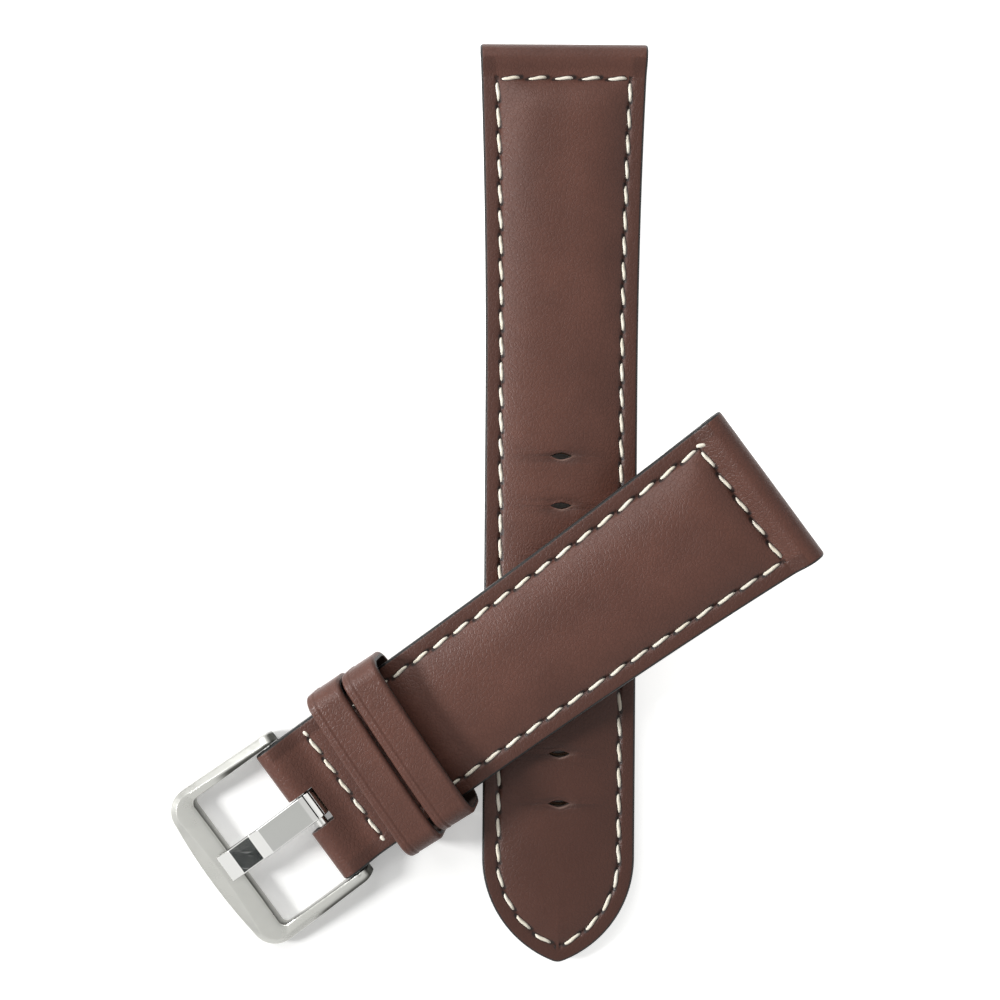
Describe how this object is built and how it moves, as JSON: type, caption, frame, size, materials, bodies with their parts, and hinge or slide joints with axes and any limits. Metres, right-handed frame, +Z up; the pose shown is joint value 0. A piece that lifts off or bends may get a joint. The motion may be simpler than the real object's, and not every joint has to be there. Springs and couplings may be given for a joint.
{
  "type": "leather watch strap",
  "caption": "Padded leather watch strap in separate halves, with light stitching, a steel pin buckle on a sprung bar, a fixed and a sliding keeper, and tunnels for lug spring bars.",
  "frame": {"origin": "centre of the long half's lug tunnel, on its axis", "axes": "+X along the long half's lug tunnel; +Y along the long half from its point to its lug end; +Z up, out of the long half's top leather; the ground is at z = -0.002"},
  "size_m": [0.0833, 0.1205, 0.0143],
  "materials": {
    "calf": "smooth fine grain, satin",
    "lining_leather": "matt",
    "backing_leather": "matt",
    "felt": "matt",
    "fibre": "matt",
    "thread": "waxed",
    "satin_steel": "satin",
    "bright_steel": "polished"
  },
  "bodies": {
    "long_half": {"long_cover": "calf", "long_padding": "felt", "long_fibre_strip": "fibre", "long_lining": "lining_leather", "long_top_thread": "thread", "long_bottom_thread": "thread"},
    "short_half": {"short_cover": "calf", "short_padding": "felt", "short_fibre_strip": "fibre", "short_lining": "lining_leather", "short_top_thread": "thread", "short_bottom_thread": "thread", "fold_top_thread": "thread", "fold_bottom_thread": "thread", "fixed_keeper": "calf", "fixed_keeper_backing": "backing_leather", "spring_bar_tube": "bright_steel", "spring_bar_spring": "bright_steel"},
    "free_keeper": {"free_keeper": "calf", "free_keeper_backing": "backing_leather"},
    "buckle": {"buckle_frame": "satin_steel"},
    "tongue": {"buckle_tongue": "bright_steel"},
    "plunger_left": {"spring_bar_plunger_left": "bright_steel"},
    "plunger_right": {"spring_bar_plunger_right": "bright_steel"}
  },
  "joints": [
    {"name": "short_half_lift", "type": "slide", "parent": "long_half", "child": "short_half", "axis": [0, 0, 1], "range_m": [0, 0.03]},
    {"name": "buckle_hinge", "type": "hinge", "parent": "short_half", "child": "buckle", "pos_m": [-0.03231, -0.09858, 0], "axis": [-0.5976, 0.8018, 0], "range_deg": [-60, 30]},
    {"name": "tongue_hinge", "type": "hinge", "parent": "buckle", "child": "tongue", "pos_m": [-0.03231, -0.09858, 0], "axis": [-0.5976, 0.8018, 0], "range_deg": [0, 58]},
    {"name": "free_keeper_slide", "type": "slide", "parent": "short_half", "child": "free_keeper", "axis": [0.7935, 0.5914, 0.1437], "range_m": [0, 0.022]},
    {"name": "plunger_left_press", "type": "slide", "parent": "short_half", "child": "plunger_left", "axis": [0.5976, -0.8018, 0], "range_m": [0, 0.001], "stiffness_N_per_m": 800, "deforming": ["spring_bar_spring"]},
    {"name": "plunger_right_press", "type": "slide", "parent": "short_half", "child": "plunger_right", "axis": [-0.5976, 0.8018, 0], "range_m": [0, 0.001], "stiffness_N_per_m": 800, "deforming": ["spring_bar_spring"]}
  ]
}
